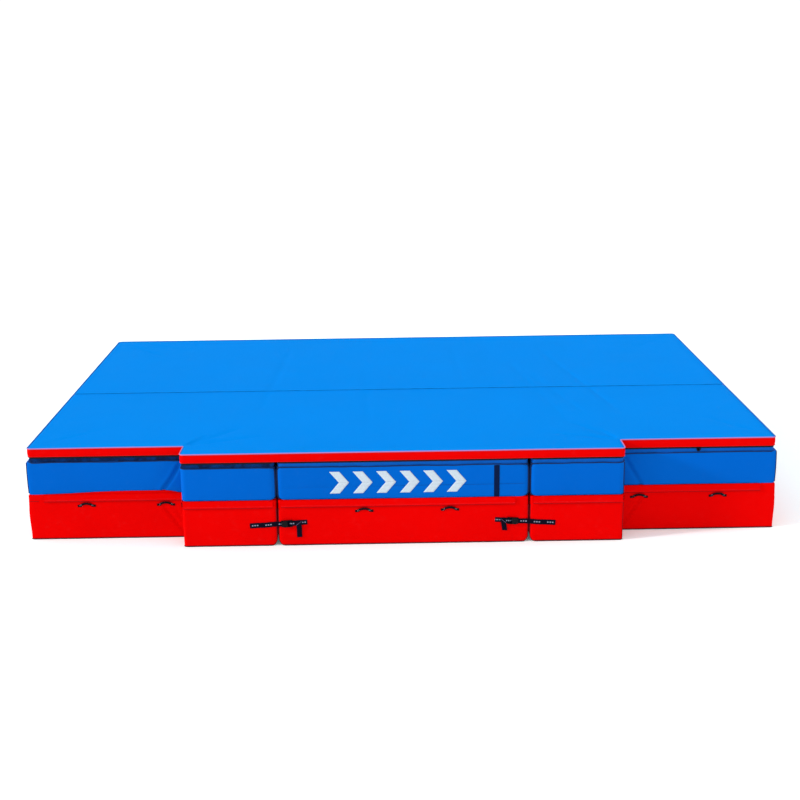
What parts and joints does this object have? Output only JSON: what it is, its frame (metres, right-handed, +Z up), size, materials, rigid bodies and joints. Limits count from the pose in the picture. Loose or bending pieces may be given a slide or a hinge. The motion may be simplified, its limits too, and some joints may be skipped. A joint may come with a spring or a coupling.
{
  "type": "landing mat",
  "caption": "High-jump landing mat: foam blocks buckled side by side under a folding top pad, with stand notches, zipped covers and carry handles.",
  "frame": {"origin": "middle of the footprint, on the floor", "axes": "+X along the width to the athlete's right facing the mat, +Y from the front with the tongue to the back, +Z up"},
  "size_m": [6, 4.036, 0.78],
  "materials": {
    "red_cover": "satin",
    "blue_cover": "satin",
    "top_cover": "satin",
    "pad_base": "matte",
    "vent_mesh": "matte",
    "foam": "matte",
    "webbing": "matte",
    "zip_tape": "matte",
    "zip_metal": "satin",
    "buckle_steel": "satin"
  },
  "bodies": {
    "middle_block": {"middle_base_cover": "red_cover", "middle_base_core": "foam", "middle_cushion_cover": "blue_cover", "middle_cushion_core": "foam", "middle_vent_mesh": "vent_mesh", "middle_zip": "zip_tape", "buckle_frames": "buckle_steel", "buckle_anchors": "webbing", "strap_tails": "webbing", "cushion_tie_strap": "webbing"},
    "left_block": {"left_base_cover": "red_cover", "left_base_core": "foam", "left_cushion_cover": "blue_cover", "left_cushion_core": "foam", "left_vent_mesh": "vent_mesh", "left_zip": "zip_tape", "left_straps": "webbing"},
    "right_block": {"right_base_cover": "red_cover", "right_base_core": "foam", "right_cushion_cover": "blue_cover", "right_cushion_core": "foam", "right_vent_mesh": "vent_mesh", "right_zip": "zip_tape", "right_straps": "webbing", "right_tie_tab": "webbing"},
    "pad_rear": {"pad_rear_core": "foam", "pad_rear_underside": "pad_base", "pad_rear_band": "red_cover", "pad_rear_top": "top_cover", "pad_fold_strip": "top_cover"},
    "pad_front": {"pad_front_core": "foam", "pad_front_underside": "pad_base", "pad_front_band": "red_cover", "pad_front_top": "top_cover"},
    "left_zip_flap": {"left_zip_flap": "red_cover"},
    "left_tongue_flap": {"left_tongue_flap": "red_cover"},
    "middle_zip_flap": {"middle_zip_flap": "red_cover"},
    "right_tongue_flap": {"right_tongue_flap": "red_cover"},
    "right_zip_flap": {"right_zip_flap": "red_cover"},
    "left_zip_slider": {"left_zip_slider": "zip_metal"},
    "middle_zip_slider": {"middle_zip_slider": "zip_metal"},
    "right_zip_slider": {"right_zip_slider": "zip_metal"},
    "left_front_lever": {"left_front_lever": "buckle_steel"},
    "left_back_lever": {"left_back_lever": "buckle_steel"},
    "right_front_lever": {"right_front_lever": "buckle_steel"},
    "right_back_lever": {"right_back_lever": "buckle_steel"},
    "left_front_outer_handle": {"left_front_outer_handle": "webbing"},
    "left_front_inner_handle": {"left_front_inner_handle": "webbing"},
    "middle_front_left_handle": {"middle_front_left_handle": "webbing"},
    "middle_front_right_handle": {"middle_front_right_handle": "webbing"},
    "right_front_inner_handle": {"right_front_inner_handle": "webbing"},
    "right_front_outer_handle": {"right_front_outer_handle": "webbing"},
    "left_back_outer_handle": {"left_back_outer_handle": "webbing"},
    "left_back_inner_handle": {"left_back_inner_handle": "webbing"},
    "middle_back_left_handle": {"middle_back_left_handle": "webbing"},
    "middle_back_right_handle": {"middle_back_right_handle": "webbing"},
    "right_back_inner_handle": {"right_back_inner_handle": "webbing"},
    "right_back_outer_handle": {"right_back_outer_handle": "webbing"},
    "right_tie_ring": {"right_tie_ring": "buckle_steel"}
  },
  "joints": [
    {"name": "left_block_slide", "type": "slide", "parent": "middle_block", "child": "left_block", "axis": [-1, 0, 0], "range_m": [0, 0.3], "deforming": ["left_straps"]},
    {"name": "right_block_slide", "type": "slide", "parent": "middle_block", "child": "right_block", "axis": [1, 0, 0], "range_m": [0, 0.3], "deforming": ["right_straps"]},
    {"name": "top_pad_lift", "type": "slide", "parent": "middle_block", "child": "pad_rear", "axis": [0, 0, 1], "range_m": [0, 0.3]},
    {"name": "top_pad_fold", "type": "hinge", "parent": "pad_rear", "child": "pad_front", "pos_m": [0, -0.14, 0.78], "axis": [-1, 0, 0], "range_deg": [0, 180], "deforming": ["pad_fold_strip"]},
    {"name": "left_zip_flap_lift", "type": "hinge", "parent": "left_block", "child": "left_zip_flap", "pos_m": [0, -1.788, 0.379], "axis": [-1, 0, 0], "range_deg": [0, 95]},
    {"name": "left_tongue_flap_lift", "type": "hinge", "parent": "left_block", "child": "left_tongue_flap", "pos_m": [0, -2.008, 0.379], "axis": [-1, 0, 0], "range_deg": [0, 95]},
    {"name": "middle_zip_flap_lift", "type": "hinge", "parent": "middle_block", "child": "middle_zip_flap", "pos_m": [0, -2.008, 0.379], "axis": [-1, 0, 0], "range_deg": [0, 95]},
    {"name": "right_tongue_flap_lift", "type": "hinge", "parent": "right_block", "child": "right_tongue_flap", "pos_m": [0, -2.008, 0.379], "axis": [-1, 0, 0], "range_deg": [0, 95]},
    {"name": "right_zip_flap_lift", "type": "hinge", "parent": "right_block", "child": "right_zip_flap", "pos_m": [0, -1.788, 0.379], "axis": [-1, 0, 0], "range_deg": [0, 95]},
    {"name": "left_zip_pull", "type": "slide", "parent": "left_block", "child": "left_zip_slider", "axis": [1, 0, 0], "range_m": [0, 1.08]},
    {"name": "middle_zip_pull", "type": "slide", "parent": "middle_block", "child": "middle_zip_slider", "axis": [-1, 0, 0], "range_m": [0, 1.8]},
    {"name": "right_zip_pull", "type": "slide", "parent": "right_block", "child": "right_zip_slider", "axis": [-1, 0, 0], "range_m": [0, 1.08]},
    {"name": "left_front_lever_open", "type": "hinge", "parent": "middle_block", "child": "left_front_lever", "pos_m": [-0.92501, -2.012, 0.18828], "axis": [-0.0558, 0, 0.9984], "range_deg": [0, 70], "stiffness_Nm_per_rad": 0.05, "springref_deg": -17.19},
    {"name": "left_back_lever_open", "type": "hinge", "parent": "middle_block", "child": "left_back_lever", "pos_m": [-0.92501, 2.012, 0.18828], "axis": [0.0558, 0, -0.9984], "range_deg": [0, 70], "stiffness_Nm_per_rad": 0.05, "springref_deg": -17.19},
    {"name": "right_front_lever_open", "type": "hinge", "parent": "middle_block", "child": "right_front_lever", "pos_m": [0.86901, -2.012, 0.18335], "axis": [-0.0698, 0, -0.9976], "range_deg": [0, 70], "stiffness_Nm_per_rad": 0.05, "springref_deg": -17.19},
    {"name": "right_back_lever_open", "type": "hinge", "parent": "middle_block", "child": "right_back_lever", "pos_m": [0.86901, 2.012, 0.18335], "axis": [0.0698, 0, 0.9976], "range_deg": [0, 70], "stiffness_Nm_per_rad": 0.05, "springref_deg": -17.19},
    {"name": "left_front_outer_handle_swing", "type": "hinge", "parent": "left_block", "child": "left_front_outer_handle", "pos_m": [0, -1.781, 0.272], "axis": [1, 0, 0], "range_deg": [0, 100]},
    {"name": "left_front_inner_handle_swing", "type": "hinge", "parent": "left_block", "child": "left_front_inner_handle", "pos_m": [0, -1.781, 0.272], "axis": [1, 0, 0], "range_deg": [0, 100]},
    {"name": "middle_front_left_handle_swing", "type": "hinge", "parent": "middle_block", "child": "middle_front_left_handle", "pos_m": [0, -2.001, 0.272], "axis": [1, 0, 0], "range_deg": [0, 100]},
    {"name": "middle_front_right_handle_swing", "type": "hinge", "parent": "middle_block", "child": "middle_front_right_handle", "pos_m": [0, -2.001, 0.272], "axis": [1, 0, 0], "range_deg": [0, 100]},
    {"name": "right_front_inner_handle_swing", "type": "hinge", "parent": "right_block", "child": "right_front_inner_handle", "pos_m": [0, -1.781, 0.272], "axis": [1, 0, 0], "range_deg": [0, 100]},
    {"name": "right_front_outer_handle_swing", "type": "hinge", "parent": "right_block", "child": "right_front_outer_handle", "pos_m": [0, -1.781, 0.272], "axis": [1, 0, 0], "range_deg": [0, 100]},
    {"name": "left_back_outer_handle_swing", "type": "hinge", "parent": "left_block", "child": "left_back_outer_handle", "pos_m": [0, 2.001, 0.272], "axis": [-1, 0, 0], "range_deg": [0, 100]},
    {"name": "left_back_inner_handle_swing", "type": "hinge", "parent": "left_block", "child": "left_back_inner_handle", "pos_m": [0, 2.001, 0.272], "axis": [-1, 0, 0], "range_deg": [0, 100]},
    {"name": "middle_back_left_handle_swing", "type": "hinge", "parent": "middle_block", "child": "middle_back_left_handle", "pos_m": [0, 2.001, 0.272], "axis": [-1, 0, 0], "range_deg": [0, 100]},
    {"name": "middle_back_right_handle_swing", "type": "hinge", "parent": "middle_block", "child": "middle_back_right_handle", "pos_m": [0, 2.001, 0.272], "axis": [-1, 0, 0], "range_deg": [0, 100]},
    {"name": "right_back_inner_handle_swing", "type": "hinge", "parent": "right_block", "child": "right_back_inner_handle", "pos_m": [0, 2.001, 0.272], "axis": [-1, 0, 0], "range_deg": [0, 100]},
    {"name": "right_back_outer_handle_swing", "type": "hinge", "parent": "right_block", "child": "right_back_outer_handle", "pos_m": [0, 2.001, 0.272], "axis": [-1, 0, 0], "range_deg": [0, 100]},
    {"name": "tie_ring_swing", "type": "hinge", "parent": "right_block", "child": "right_tie_ring", "pos_m": [2.38, -1.783, 0.694], "axis": [1, 0, 0], "range_deg": [-100, 0]}
  ]
}
